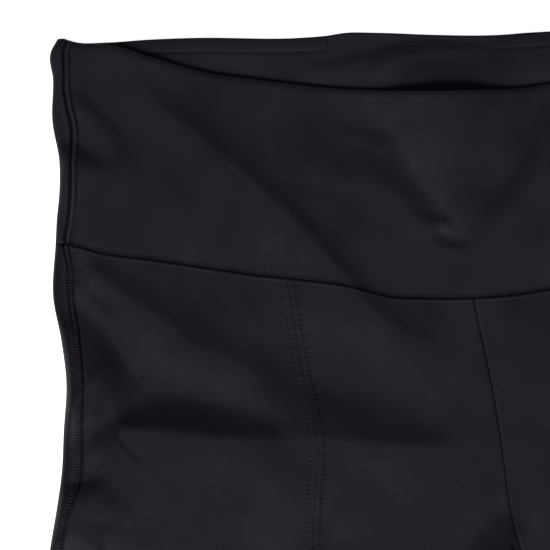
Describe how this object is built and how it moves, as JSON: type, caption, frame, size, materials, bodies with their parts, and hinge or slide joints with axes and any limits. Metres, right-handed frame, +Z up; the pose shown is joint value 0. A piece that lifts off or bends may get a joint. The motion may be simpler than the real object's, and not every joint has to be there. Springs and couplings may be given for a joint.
{
  "type": "flared sports trousers",
  "caption": "Flared stretch-knit sports trousers laid flat on their back, with a deep dipped waistband, a seam down the front of each leg and side seams that lie on the front.",
  "frame": {"origin": "middle of the base of the box round the garment, on the surface it lies on", "axes": "+X to the wearer's left, +Y up the garment towards the waist, +Z up from the surface"},
  "size_m": [0.5972, 1.088, 0.0133],
  "materials": {
    "stretch_knit": "near-black fine stretch knit with a faint sheen",
    "waistband_knit": "near-black fine stretch knit, double",
    "elastic_tape": "near-black narrow elastic"
  },
  "bodies": {
    "root": {"waistband_front": "waistband_knit", "waistband_back": "waistband_knit", "waist_elastic_right": "elastic_tape", "waist_elastic_left": "elastic_tape", "front_side_right": "stretch_knit", "front_centre_right": "stretch_knit", "front_centre_left": "stretch_knit", "front_side_left": "stretch_knit", "back_leg_right": "stretch_knit", "back_leg_left": "stretch_knit"}
  },
  "joints": []
}
